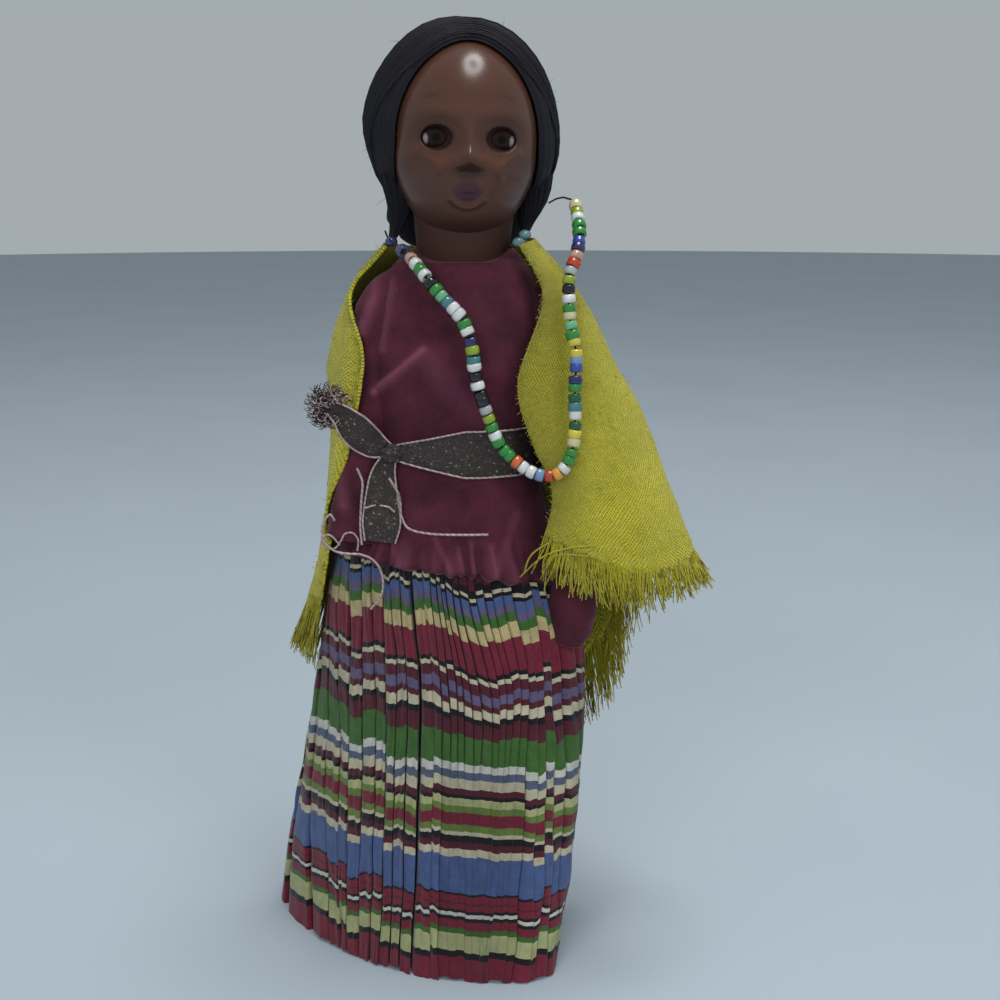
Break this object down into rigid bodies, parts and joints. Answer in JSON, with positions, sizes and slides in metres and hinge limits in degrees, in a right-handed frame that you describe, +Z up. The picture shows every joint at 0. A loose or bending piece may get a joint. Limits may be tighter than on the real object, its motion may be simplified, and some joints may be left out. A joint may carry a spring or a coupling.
{
  "type": "souvenir doll",
  "caption": "Standing souvenir doll of hard plastic in a maroon blouse, a pleated striped skirt and a yellow fringed shawl, with a bead necklace.",
  "frame": {"origin": "on the floor, in the middle of the skirt's flat underside", "axes": "+Z up, -Y the way the doll faces, +X to the viewer's right"},
  "size_m": [0.0944, 0.0487, 0.1901],
  "materials": {
    "brown_plastic": "glossy moulded plastic",
    "dark_eye": "glossy inset eye",
    "black_mohair": "combed mohair",
    "seed_beads": "opaque glass beads in mixed colours",
    "maroon_cloth": "matt napped cotton",
    "silver_ribbon": "metallic woven ribbon, dulled",
    "gilt_wire": "fine tarnished wire",
    "striped_cloth": "pleated printed cotton in cross stripes",
    "yellow_wool": "loose plain weave with a fringe"
  },
  "bodies": {
    "root": {"doll_head": "brown_plastic", "left_eye": "dark_eye", "right_eye": "dark_eye", "wig": "black_mohair", "hair_bead_left": "seed_beads", "hair_beads_right": "seed_beads", "bead_necklace": "seed_beads", "blouse": "maroon_cloth", "ribbon_belt": "silver_ribbon", "gilt_wire_front": "gilt_wire", "gilt_wire_left": "gilt_wire", "gilt_wire_loop": "gilt_wire", "pleated_skirt": "striped_cloth", "shawl": "yellow_wool"}
  },
  "joints": []
}
